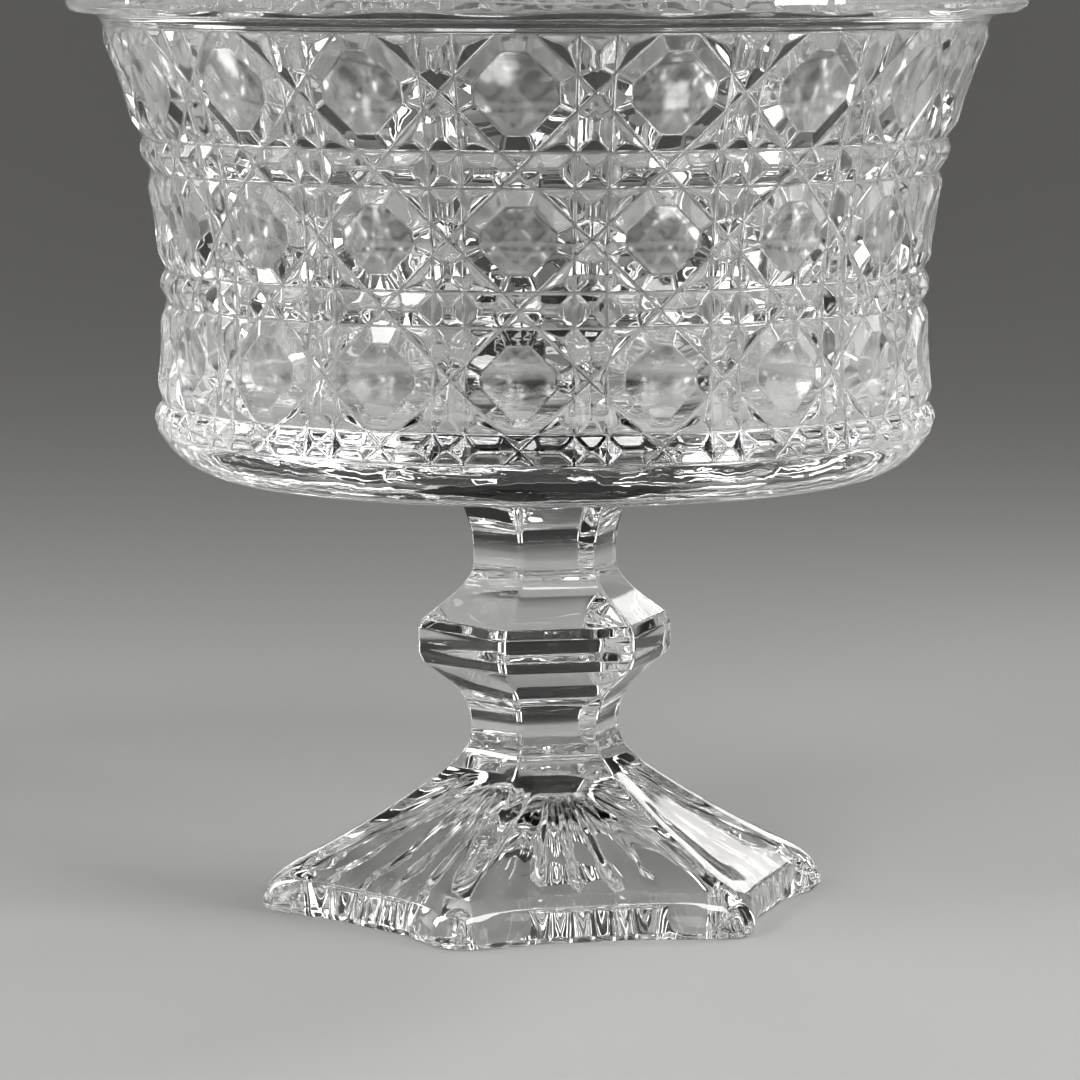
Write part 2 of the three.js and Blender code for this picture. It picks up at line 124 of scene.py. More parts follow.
PANEL_INSET = 14.4
NOSE_LENGTH = 11.9
NOSE_HEIGHT = 14
NOSE_TURN = 8.4
LOBE_HALF_ANGLE = math.radians(16.5)
LOBE_TIP_ANGLE = math.radians(5)
FLUTE_DEPTH = 0.5  # how much deeper the foot is scooped halfway up, as a share of its depth at the edge
PANEL_EDGE_HEIGHT = 9.5  # of the crease between a panel and its upright edge
FOOT_WALL = 7.8
HOLLOW_DRAFT = 1
HOLLOW_WALL_HEIGHT = 7
HOLLOW_HEIGHT = 25
HOLLOW_SHOULDER_RADIUS = 31.2
HOLLOW_CROWN_RADIUS = 7.5
HOLLOW_FLUTES = 30
DOME_FLUTE_DEPTH = 0.022  # half the depth of a flute, as a share of the hollow's radius
WALL_FLUTE_DEPTH = 0.009
DOME_LOBES = 1.4  # how much deeper the dome's lobes are than the foot's
SHALLOW_PANEL = 0.9  # the panels' share of the radius in the outline with shallow lobes

# Stages of the pedestal's outline
DOME, HOLLOW_SIDES, STEM, LOBES = 0, 1, 2, 3
SHOULDER_STAGE = -2  # at the turn of the hollow's curve, whose middle then has the dome's outline
WALL_TOP_STAGE = 0.65

# How far the corners of the pedestal's outlines are rounded
DOME_SOFTNESS = math.radians(1.0)
WALL_SOFTNESS = math.radians(4.0)
STEM_SOFTNESS = math.radians(1.4)
LOBE_SOFTNESS = math.radians(1.7)

# Numbers of the finishes; 0 is the plain cut and polished one
BONDED_FINISH = 1
BUTTON_FINISH = 2
INSIDE_FINISH = 3

# Sizes that follow from the ones above
LOWER_NECK = FOOT_HEIGHT + COLLAR_SWEEP
KNOP_BOTTOM = LOWER_NECK + LOWER_NECK_SWEEP
GIRDLE_BOTTOM = KNOP_BOTTOM + KNOP_BEVEL_HEIGHT
GIRDLE_TOP = GIRDLE_BOTTOM + KNOP_GIRDLE
KNOP_TOP = GIRDLE_TOP + KNOP_BEVEL_HEIGHT
UPPER_NECK_BOTTOM = KNOP_TOP + UPPER_NECK_SWEEP
UPPER_NECK_TOP = UPPER_NECK_BOTTOM + UPPER_NECK_LENGTH
PEDESTAL_HEIGHT = UPPER_NECK_TOP + STEM_TOP_SWEEP
BOWL_BOTTOM = PEDESTAL_HEIGHT + BOND_THICKNESS
BOND_RADIUS = STEM_TOP_RADIUS - BOND_MARGIN
SEAT_RADIUS = STEM_TOP_RADIUS + SEAT_MARGIN
PATTERN_BOTTOM = BOWL_BOTTOM + BASE_RISE
PATTERN_TOP = PATTERN_BOTTOM + sum(ROW_HEIGHTS) + sum(BAND_HEIGHTS)
RIM_TOP = PATTERN_TOP + RIM_HEIGHT
WAIST_HEIGHT = PATTERN_BOTTOM + WAIST_RISE
FLOOR_HEIGHT = BOWL_BOTTOM + FLOOR_THICKNESS
PITCH = 2 * math.pi / CELLS
COLUMN_HALF = COLUMN_WIDTH / 2 / WAIST_RADIUS
COLUMN_EDGE = PITCH / 2 - COLUMN_HALF
TOP_GROOVE_RADIUS = RIM_RADIUS - RIM_OVERHANG
FLARE = (TOP_GROOVE_RADIUS - WAIST_RADIUS) / (PATTERN_TOP - WAIST_HEIGHT) ** 2
PANEL_SHARE = (FOOT_RADIUS - PANEL_INSET) / FOOT_RADIUS
BEVEL_SLOPE = BEVEL_RISE / BEVEL_WIDTH
GROOVE_FILL = BEVEL_SLOPE * GROOVE_SOFTNESS / 2  # how far the softening lifts the bottom of a groove


def groove_radius(z):
    """Waist radius plus the flare, which grows with the square of the height above the waist."""
    return WAIST_RADIUS + FLARE * (z - WAIST_HEIGHT) ** 2


def inside_radius(z):
    """Groove radius less the wall above the waist; below it the wall leans in by the draft."""
    below = np.maximum(0, WAIST_HEIGHT - z)
    return groove_radius(np.maximum(z, WAIST_HEIGHT)) - WALL - INSIDE_DRAFT * below


def in_space(direction, radius, z):
    """A point at a direction, radius and height: (radius * sin, -radius * cos, height)."""
    return np.stack(np.broadcast_arrays(radius * np.sin(direction), -radius * np.cos(direction), z), -1)


def normal_in_space(direction, outward, sideways, upward):
    """A normal given by its parts away from the axis, round the axis and up."""
    x = outward * np.sin(direction) + sideways * np.cos(direction)
    y = sideways * np.sin(direction) - outward * np.cos(direction)
    return np.stack(np.broadcast_arrays(x, y, upward), -1)


def grid_faces(rows, columns, closed):
    """Two triangles for each cell of a grid of points; a closed grid runs once round the axis."""
    row = np.arange(rows - 1)[:, None]
    column = np.arange(columns if closed else columns - 1)[None, :]
    after = (column + 1) % columns
    here, above = row * columns, (row + 1) * columns
    corners = [here + column, here + after, above + after, above + column]
    a, b, c, d = (corner.ravel() for corner in corners)
    return np.concatenate([np.stack([a, b, c], 1), np.stack([a, c, d], 1)])


# Profiles


def curve(start, turn, end, steps=40):
    """Points on the curve (1-t)^2 start + 2t(1-t) turn + t^2 end, without its start."""
    start, turn, end = (np.array(point, float) for point in (start, turn, end))
    t = np.linspace(0, 1, steps + 1)[1:, None]
    return (1 - t) ** 2 * start + 2 * t * (1 - t) * turn + t**2 * end


def soften(path, reach):
    """Rounds the corners of a path: even steps along it, then twice the mean over reach on both sides."""
    lengths = np.r_[0, np.cumsum(np.hypot(*np.diff(path[:, :2], axis=0).T))]
    half = 8
    count = int(lengths[-1] / reach * half) + 1
    even = np.linspace(0, lengths[-1], count)
    dense = np.stack([np.interp(even, lengths, column) for column in path.T], 1)
    kernel = np.ones(2 * half + 1) / (2 * half + 1)
    pad = 2 * half
    before = 2 * dense[0] - dense[pad:0:-1]
    beyond = 2 * dense[-1] - dense[-2 : -pad - 2 : -1]
    long = np.concatenate([before, dense, beyond])
    smooth = [np.convolve(np.convolve(column, kernel, "same"), kernel, "same") for column in long.T]
    return np.stack(smooth, 1)[pad:-pad]


def rows_of(path, longest, sharpest):
    """Rows along a softened path, and its slopes there: each row adds the same sum of length over longest
    and turning over sharpest."""
    steps = np.diff(path[:, :2], axis=0)
    heading = np.unwrap(np.arctan2(steps[:, 1], steps[:, 0]))
    cost = np.hypot(*steps.T) / longest
    cost[1:] += np.abs(np.diff(heading)) / sharpest
    total = np.r_[0, np.cumsum(cost)]
    wanted = np.linspace(0, total[-1], math.ceil(total[-1]) + 1)
    place = np.interp(wanted, total, np.arange(len(path)))

    def pick(table):
        return np.stack([np.interp(place, np.arange(len(path)), column) for column in table.T], 1)

    return pick(path), pick(np.gradient(path, axis=0))


def outline(shape, directions, softness):
    """Share of the radius in each direction, and how it changes: the shape's mean over softness, taken
    twice."""
    count = 7200
    fine = np.arange(count) * 2 * math.pi / count
    window = max(1, round(softness / (2 * math.pi / count)))
    kernel = np.ones(2 * window + 1) / (2 * window + 1)
    pad = 4 * window
    table = shape(fine)
    long = np.concatenate([table[-pad:], table, table[:pad]])
    smooth = np.convolve(np.convolve(long, kernel, "same"), kernel, "same")
    slope = np.gradient(smooth, 2 * math.pi / count)
    around = (np.arange(len(long)) - pad) * 2 * math.pi / count
    wrapped = directions % (2 * math.pi)
    return np.interp(wrapped, around, smooth), np.interp(wrapped, around, slope)


def round_outline(directions):
    return np.ones_like(directions), np.zeros_like(directions)


def turned(path, directions, outlines, longest=4.0, sharpest=math.radians(12), softness=0.5):
    """A surface whose rings needn't be round. A row of the path holds the radius r, the height z and a
    stage s, which says how far the ring has changed from the first outline to the last: at the stage 1.5 it
    is halfway from outline 1 to outline 2, and below the stage 0 it stays at outline 0. The radius in
    direction a is r times that outline in a. The normal is the cross product of the tangents along the ring
    and along the path."""
    rows = rows_of(soften(path, softness), longest, sharpest)
    (r, z, stage), (dr, dz, dstage) = (table.T[:, :, None] for table in rows)
    scale, slope = outlines[0]
    dscale = 0.0
    for index in range(1, len(outlines)):
        last = index == len(outlines) - 1
        part = np.maximum(stage - index + 1, 0) if last else np.clip(stage - index + 1, 0, 1)
        moving = (stage > index - 1) & (last | (stage < index))
        change = [now - before for now, before in zip(outlines[index], outlines[index - 1])]
        scale, slope = scale + part * change[0], slope + part * change[1]
        dscale = dscale + moving * dstage * change[0]
    points = in_space(directions, r * scale, z)
    normals = normal_in_space(directions, dz, -dz * slope / scale, -(dr * scale + r * dscale))
    faces = grid_faces(*points.shape[:2], closed=True)
    return {"points": points, "normals": normals, "faces": faces, "directions": directions}


def ring(surface, row):
    """The directions and points of the first or last ring of a turned surface."""
    return surface["directions"], surface["points"][row]


def stitched(lower, upper):
    """Joins two closed rings of different points. Each step on one ring makes a triangle with the point that
    the other ring has reached by then; directions rise from 0 to a full turn."""
    (a, a_points), (b, b_points) = lower, upper
    turn = 2 * math.pi
    a_long, b_long = (np.concatenate([way - turn, way, way + turn]) for way in (a, b))
    i, j = np.arange(len(a)), np.arange(len(b))
    reached_b = (np.searchsorted(b_long, a_long[len(a) + i + 1], "left") - 1) % len(b)
    reached_a = (np.searchsorted(a_long, b_long[len(b) + j + 1], "right") - 1) % len(a)
    along_a = np.stack([i, (i + 1) % len(a), len(a) + reached_b], 1)
    along_b = np.stack([reached_a, len(a) + (j + 1) % len(b), len(a) + j], 1)
    points = np.concatenate([a_points, b_points])
    return {"points": points, "normals": np.zeros_like(points), "faces": np.concatenate([along_a, along_b])}


# Cane pattern


def clip(polygon, normal, offset):
    """The part of a convex polygon where normal . point is at least offset."""
    here = polygon @ normal - offset
    kept = []
    for point, after, now, then in zip(polygon, np.roll(polygon, -1, 0), here, np.roll(here, -1)):
        if now >= 0:
            kept.append(point)
        if (now < 0) != (then < 0):
            kept.append(point + (after - point) * now / (now - then))
    return np.array(kept)


def span(polygon, levels):
    """Leftmost and rightmost place of a convex polygon at each level of its second coordinate."""
    (s0, d0), (s1, d1) = polygon.T[:, :, None], np.roll(polygon, -1, 0).T[:, :, None]
    flat = np.abs(d1 - d0) < 1e-9
    t = (levels - d0) / np.where(flat, 1, d1 - d0)
    crosses = ~flat & (t > -1e-6) & (t < 1 + 1e-6)
    at = s0 + np.clip(t, 0, 1) * (s1 - s0)
    return np.where(crosses, at, np.inf).min(0), np.where(crosses, at, -np.inf).max(0)


def raised_piece(corners):
    """One piece of the cut pattern, given by its corners as (direction, height).

    Unrolled, each flank is the part of the piece nearest to its own groove. At the distance d from that
    groove it stands BEVEL_SLOPE * d above it, with d^2 / 2g + g/2 in place of d on the first g, less
    (d - D + w)^2 / 2w on the last w below a ridge or brink D away. A flank below a ridge is also crowned by
    FLANK_CROWN * D * x^2 (1 - x), x being d / D. An octagon's flanks stop at BEVEL_WIDTH, and it carries a
    button.
    """
    unroll = groove_radius(corners[:, 1].mean())
    flat = corners * (unroll, 1)
    sides = np.roll(flat, -1, 0) - flat
    along = sides / np.hypot(*sides.T)[:, None]
    inward = np.stack([-along[:, 1], along[:, 0]], 1)
    offsets = (inward * flat).sum(1)

    capped = len(flat) == 8
    flanks = []
    for own in range(len(flat)):
        polygon = clip(flat, -inward[own], -offsets[own] - BEVEL_WIDTH) if capped else flat
        for other in np.delete(np.arange(len(flat)), own):
            polygon = clip(polygon, inward[other] - inward[own], offsets[other] - offsets[own])
        from_corner = polygon - flat[own]
        flanks.append(np.stack([from_corner @ along[own], from_corner @ inward[own]], 1))
    nodes = np.unique(np.round(np.concatenate([flank[:, 1] for flank in flanks]), 6))
    top = nodes[-1]
    soft, crowning = (BRINK_SOFTNESS, 0) if capped else (RIDGE_SOFTNESS, FLANK_CROWN)
    halfway = [] if capped else [(GROOVE_SOFTNESS + top - soft) / 2]
    levels = np.unique(np.r_[nodes[nodes > -1e-6], GROOVE_SOFTNESS, halfway, top - soft])

    surfaces = []
    brink = []
    for own, flank in enumerate(flanks):
        d = levels[levels < flank[:, 1].max() + 1e-5]
        left, right = span(flank, d)
        width = right - left
        ends = corners[[own, (own + 1) % len(corners)]]
        ends = in_space(ends[:, 0], groove_radius(ends[:, 1]), ends[:, 1])
        width[0] = np.hypot.reduce(np.diff(ends, axis=0)[0])
        strip = np.minimum(HIP_SOFTNESS / np.maximum(width, 1e-3), HIP_LIMIT)[:, None]
        share = np.concatenate([0 * strip, strip, 0 * strip + 0.5, 1 - strip, 0 * strip + 1], 1)
        s = left[:, None] + share * (right - left)[:, None]
        d = d[:, None] + 0 * s
        place = flat[own] + s[..., None] * along[own] + d[..., None] * inward[own]
        start = np.minimum(d, GROOVE_SOFTNESS)
        over = np.maximum(0, d - top + soft) / soft
        x = np.minimum(d / top, 1)
        crown = crowning * x**2 * (1 - x) * top
        groove = (start**2 / GROOVE_SOFTNESS + GROOVE_SOFTNESS) / 2
        rise = BEVEL_SLOPE * (d - start + groove - over**2 * soft / 2 + crown)
        steep = BEVEL_SLOPE * (start / GROOVE_SOFTNESS - over + crowning * (2 * x - 3 * x**2))
        z = place[..., 1]
        radius = groove_radius(z) + rise
        surfaces.append({
            "direction": place[..., 0] / unroll,
            "z": z,
            "radius": radius,
            "sideways": -steep * inward[own, 0] * unroll / radius,
            "upward": -2 * FLARE * (z - WAIST_HEIGHT) - steep * inward[own, 1],
            "faces": grid_faces(*z.shape, closed=False),
        })
        if capped:
            brink.append(place[-1, :-1])
    if capped:
        surfaces.append(button(np.concatenate(brink), unroll))
    return surfaces


def button(brink, unroll):
    """Rings of the brink shrunk towards its middle, dished by BUTTON_DISH * (1 - q^2) below the brink."""
    middle = brink.mean(0)
    away = (brink - middle)[None] * np.array(BUTTON_RINGS)[:, None, None]
    corner = np.hypot(*(brink - middle).T).max()
    q2 = (away**2).sum(-1) / corner**2
    top = BEVEL_SLOPE * (BEVEL_WIDTH - BRINK_SOFTNESS / 2)
    dish = BUTTON_DISH * (1 - q2)
    dish[0] = 0
    place = middle + away
    z = place[..., 1]
    radius = groove_radius(z) + top - dish
    lean = 2 * BUTTON_DISH * away / corner**2
    return {
        "direction": place[..., 0] / unroll,
        "z": z,
        "radius": radius,
        "sideways": -lean[..., 0] * unroll / radius,
        "upward": -2 * FLARE * (z - WAIST_HEIGHT) - lean[..., 1],
        "faces": grid_faces(*z.shape, closed=True),
        "finish": BUTTON_FINISH,
    }


def diagonal_cuts(half_row, half_band):
    """Where the diagonals of a row meet its edge (a direction) and its columns (a height), both counted from
    the middle."""
    reach = half_row + half_band
    return PITCH / 2 * half_band / reach, reach * COLUMN_HALF / (PITCH / 2)


def row_pieces(bottom, top, below, above):
    """Corners of one octagon, its four corner pieces and the four pieces of the column to its right."""
    (low_edge, low_column), (high_edge, high_column) = below, above
    middle = (bottom + top) / 2
    side = COLUMN_EDGE
    low, high = middle - low_column, middle + high_column
    column, left, right = PITCH / 2, PITCH / 2 - COLUMN_HALF, PITCH / 2 + COLUMN_HALF
    return [
        [(low_edge, bottom), (side, low), (side, high), (high_edge, top),
         (-high_edge, top), (-side, high), (-side, low), (-low_edge, bottom)],
        [(low_edge, bottom), (side, bottom), (side, low)],
        [(side, high), (side, top), (high_edge, top)],
        [(-high_edge, top), (-side, top), (-side, high)],
        [(-side, low), (-side, bottom), (-low_edge, bottom)],
        [(column, middle), (left, high), (left, low)],
        [(column, middle), (right, low), (right, high)],
        [(column, middle), (right, high), (right, top), (left, top), (left, high)],
        [(column, middle), (left, low), (left, bottom), (right, bottom), (right, low)],
    ]


def band_pieces(bottom, top, low_edge, high_edge):
    """Corners of the pieces round a crossing of the diagonals, and of the square in the column to its
    right."""
    middle = (bottom + top) / 2
    side = COLUMN_EDGE
    return [
        [(0, middle), (high_edge, top), (-high_edge, top)],
        [(0, middle), (-low_edge, bottom), (low_edge, bottom)],
        [(0, middle), (low_edge, bottom), (side, bottom), (side, top), (high_edge, top)],
        [(0, middle), (-high_edge, top), (-side, top), (-side, bottom), (-low_edge, bottom)],
        [(side, bottom), (PITCH - side, bottom), (PITCH - side, top), (side, top)],
    ]


def pattern_pieces():
    """The pieces of one cell from the lowest groove to the highest, row by row."""
    pieces = []
    bottom = PATTERN_BOTTOM
    low_edge = None
    for row, (row_height, band_height) in enumerate(zip(ROW_HEIGHTS, BAND_HEIGHTS)):
        band_above = BAND_HEIGHTS[min(row + 1, len(BAND_HEIGHTS) - 1)]
        below = diagonal_cuts(row_height / 2, band_height / 2)
        above = diagonal_cuts(row_height / 2, band_above / 2)
        band_top = bottom + band_height
        row_top = band_top + row_height
        pieces += band_pieces(bottom, band_top, low_edge or below[0], below[0])
        pieces += row_pieces(band_top, row_top, below, above)
        low_edge = above[0]
        bottom = row_top
    return [np.array(piece, float) for piece in pieces]


def cane_pattern():
    """The pieces of one cell, carried round the axis in steps of the pitch."""
    cell = [surface for piece in pattern_pieces() for surface in raised_piece(piece)]
    step = (np.arange(CELLS) * PITCH)[:, None]
    surfaces = []
    for part in cell:
        direction, z, radius, sideways, upward = (
            part[name].ravel()[None] for name in ("direction", "z", "radius", "sideways", "upward"))
        direction = direction + step
        faces = part["faces"][None] + (np.arange(CELLS) * z.size)[:, None, None]
        surfaces.append({
            "points": in_space(direction, radius, z),
            "normals": normal_in_space(direction, 1.0, sideways, upward),
            "faces": faces.reshape(-1, 3),
            "finish": part.get("finish", 0),
        })
    return surfaces


def groove_ring(surfaces, z):
    """The directions and points that the pattern has on the groove at height z, by rising direction."""
    points = np.concatenate([surface["points"].reshape(-1, 3) for surface in surfaces])
    points = points[np.abs(points[:, 2] - z) < 1e-6]
    share = np.arctan2(points[:, 0], -points[:, 1]) / (2 * math.pi)
    share, first = np.unique(np.round(share % 1, 7) % 1, return_index=True)
    return share * 2 * math.pi, points[first]


# Meshes

WELD_CELLS = 2000  # per millimetre
WELD_OFFSET = 0.217  # keeps round measures off the edges of the cells
SEAT_TOLERANCE = 0.01


def welded(surfaces):
    """All surfaces as one: points in the same cell of a fine grid are shared, with the sum of their normals,
    and faces that have shrunk to a line are left out."""
    sizes = np.cumsum([0] + [surface["points"].size // 3 for surface in surfaces])
    points = np.concatenate([surface["points"].reshape(-1, 3) for surface in surfaces])
    normals = np.concatenate([surface["normals"].reshape(-1, 3) for surface in surfaces])
    faces = np.concatenate([surface["faces"] + start for surface, start in zip(surfaces, sizes)])
    each_finish = [np.full(len(surface["faces"]), surface.get("finish", 0)) for surface in surfaces]
    finishes = np.concatenate(each_finish)
    cells = np.floor(points * WELD_CELLS + WELD_OFFSET).astype(np.int64)
    _, first, shared = np.unique(cells, axis=0, return_index=True, return_inverse=True)
    shared = shared.ravel()
    total = np.zeros((len(first), 3))
    np.add.at(total, shared, normals)
    faces = shared[faces]
    whole = (faces[:, 0] != faces[:, 1]) & (faces[:, 1] != faces[:, 2]) & (faces[:, 2] != faces[:, 0])
    length = np.linalg.norm(total, axis=1, keepdims=True)
    return points[first], total / np.where(length > 0, length, 1), faces[whole], finishes[whole]


def at_bond(corners, height):
    """Whether a face lies at a height, inside the film's outline."""
    middle = corners.mean(1)
    direction = np.arctan2(middle[:, 0], -middle[:, 1])
    inside = np.hypot(middle[:, 0], middle[:, 1]) < BOND_RADIUS * hexagon(direction)
    return inside & (np.abs(corners[:, :, 2] - height) < SEAT_TOLERANCE).all(1)


def glass_mesh(name, surfaces, materials, seat=-1):
    """A piece of the object from its surfaces. A face takes the material of its surface's finish, and where
    the film covers it, at the height of the seat, the material of the bonded finish."""
    points, normals, faces, finishes = welded(surfaces)
    mesh = bpy.data.meshes.new(name)
    mesh.vertices.add(len(points))
    mesh.vertices.foreach_set("co", (points * MM).astype(np.float32).ravel())
    mesh.loops.add(faces.size)
    mesh.loops.foreach_set("vertex_index", faces.astype(np.int32).ravel())
    mesh.polygons.add(len(faces))
    mesh.polygons.foreach_set("loop_start", np.arange(0, faces.size, 3, dtype=np.int32))
    for material in materials:
        mesh.materials.append(material)
    finishes[at_bond(points[faces], seat)] = BONDED_FINISH
    mesh.polygons.foreach_set("material_index", finishes.astype(np.int32))
    mesh.update(calc_edges=True)
    mesh.shade_smooth()
    mesh.normals_split_custom_set_from_vertices(normals.tolist())
    piece = bpy.data.objects.new(name, mesh)
    bpy.context.scene.collection.objects.link(piece)
    return piece


# Outlines and pieces


def spread(count):
    return np.arange(count) * 2 * math.pi / count


def hexagon(direction):
    """A hexagon with corners at radius 1: cos 30 over the cosine of the direction from the middle of a
    side."""
    half = math.pi / SIDES
    return math.cos(half) / np.cos((direction - PEDESTAL_TURN) % (2 * half) - half)


def lobed(direction, panel=PANEL_SHARE):
    """The foot's outline: straight sides at the panels' distance, and lobes that reach out to the hexagon's
    tips. From the tip to the panel each side of a lobe is the straight line between its two corners."""
    half = math.pi / SIDES
    off = np.abs((direction - PEDESTAL_TURN + half) % (2 * half) - half)
    tip = math.cos(half) / math.cos(half - LOBE_TIP_ANGLE)
    root = panel / math.cos(half - LOBE_HALF_ANGLE)
    x0, y0 = tip * math.cos(LOBE_TIP_ANGLE), tip * math.sin(LOBE_TIP_ANGLE)
    x1, y1 = root * math.cos(LOBE_HALF_ANGLE), root * math.sin(LOBE_HALF_ANGLE)
    flank = (x0 * y1 - x1 * y0) / ((y1 - y0) * np.cos(off) - (x1 - x0) * np.sin(off))
    at_tip, at_panel = math.cos(half) / np.cos(half - off), panel / np.cos(half - off)
    return np.where(off < LOBE_TIP_ANGLE, at_tip, np.where(off < LOBE_HALF_ANGLE, flank, at_panel))


def shallow_lobed(direction):
    return lobed(direction, SHALLOW_PANEL)


def dome_lobes(direction):
    """The dome's outline: the hexagon plus DOME_LOBES + 1 times the step from it to the foot's lobes."""
    return (1 + DOME_LOBES) * lobed(direction) - DOME_LOBES * hexagon(direction)


def fluted(plain, directions, depth):
    """An outline and its slope with a wave of HOLLOW_FLUTES flutes added to it."""
    share, slope = plain
    phase = HOLLOW_FLUTES * (directions - PEDESTAL_TURN)
    return share + depth * np.cos(phase), slope - HOLLOW_FLUTES * depth * np.sin(phase)


def rim_outline(direction):
    """Flats between round uprights: cos f over the cosine of the direction from a flat's middle on flats of
    the half angle f, and 1 on the uprights."""
    flat_half = (PITCH - RIM_UPRIGHT_ANGLE) / 2
    off = (direction - RIM_TURN + PITCH / 2) % PITCH - PITCH / 2
    return np.where(np.abs(off) <= flat_half, math.cos(flat_half) / np.cos(off), 1.0)


def bowl_surfaces():
    """The underside and rounded base, the cane pattern, the cove and rim, and the smooth inside."""
    pattern = cane_pattern()
    lowest = groove_ring(pattern, PATTERN_BOTTOM)
    highest = groove_ring(pattern, PATTERN_TOP)

    lowest_radius = groove_radius(PATTERN_BOTTOM) + GROOVE_FILL
    edge = BOWL_BOTTOM + UNDERSIDE_FALL
    rounding = (lowest_radius - BASE_ROUNDING, edge, 0)
    shoulder = (lowest_radius - BASE_SHOULDER, edge, 0)
    base = np.concatenate([
        [(0, BOWL_BOTTOM, 1), (BOND_RADIUS, BOWL_BOTTOM, 1), (SEAT_RADIUS, BOWL_BOTTOM, 0), rounding],
        curve(rounding, shoulder, (lowest_radius, PATTERN_BOTTOM, 0))[:-1],
    ])
    around = spread(BOWL_COLUMNS * CELLS)
    even = round_outline(around)
    seat = outline(hexagon, around, math.radians(0.2))
    base = turned(base, around, [even, seat], longest=5, sharpest=math.radians(6))

    cove_radius = TOP_GROOVE_RADIUS + COVE_FOOT
    cove_foot = (cove_radius, PATTERN_TOP + COVE_FOOT, 0)
    cove_top = PATTERN_TOP + COVE_HEIGHT
    under_edge = (RIM_RADIUS - RIM_EDGE_INSET, cove_top, 0)
    lip = RIM_TOP - RIM_TOP_ROUND
    rim_inside = inside_radius(RIM_TOP) + RIM_TOP_ROUND
    rim = np.concatenate([
        [(TOP_GROOVE_RADIUS + GROOVE_FILL + COVE_START, PATTERN_TOP + COVE_START, 0), cove_foot],
        curve(cove_foot, (cove_radius, cove_top - COVE_SLOPE, 0), under_edge),
        [(RIM_RADIUS, cove_top + RIM_EDGE_HEIGHT, 1), (RIM_RADIUS, lip, 1)],
        curve((RIM_RADIUS, lip, 1), (RIM_RADIUS, RIM_TOP, 1), (RIM_RADIUS - 2 * RIM_TOP_ROUND, RIM_TOP, 0)),
        [(rim_inside + 2 * RIM_SEAM, RIM_TOP, 0)],
    ])
    fine = spread(RIM_COLUMNS * CELLS)
    flats = outline(rim_outline, fine, math.radians(0.5))
    rim = turned(rim, fine, [round_outline(fine), flats], longest=3, sharpest=math.radians(12), softness=0.4)

    corner_top = FLOOR_HEIGHT + FLOOR_CORNER
    floor_radius = inside_radius(corner_top) - FLOOR_CORNER
    wall = np.linspace(lip, corner_top, 60)
    inside = np.concatenate([
        [(rim_inside + RIM_SEAM, RIM_TOP, 0), (rim_inside, RIM_TOP, 0)],
        curve((rim_inside, RIM_TOP, 0), (inside_radius(RIM_TOP), RIM_TOP, 0), (inside_radius(lip), lip, 0)),
        np.stack([inside_radius(wall), wall, 0 * wall], 1)[1:],
        curve((inside_radius(corner_top), corner_top, 0), (inside_radius(FLOOR_HEIGHT), FLOOR_HEIGHT, 0),
              (floor_radius, FLOOR_HEIGHT, 0)),
        [(0, FLOOR_HEIGHT, 0)],
    ])
    inside = turned(inside, around, [even], longest=6, sharpest=math.radians(6))
    inside["finish"] = INSIDE_FINISH
    joints = [
        stitched(ring(base, -1), lowest),
        stitched(highest, ring(rim, 0)),
        stitched(ring(rim, -1), ring(inside, 0)),
    ]
    return [base, *pattern, rim, inside, *joints]


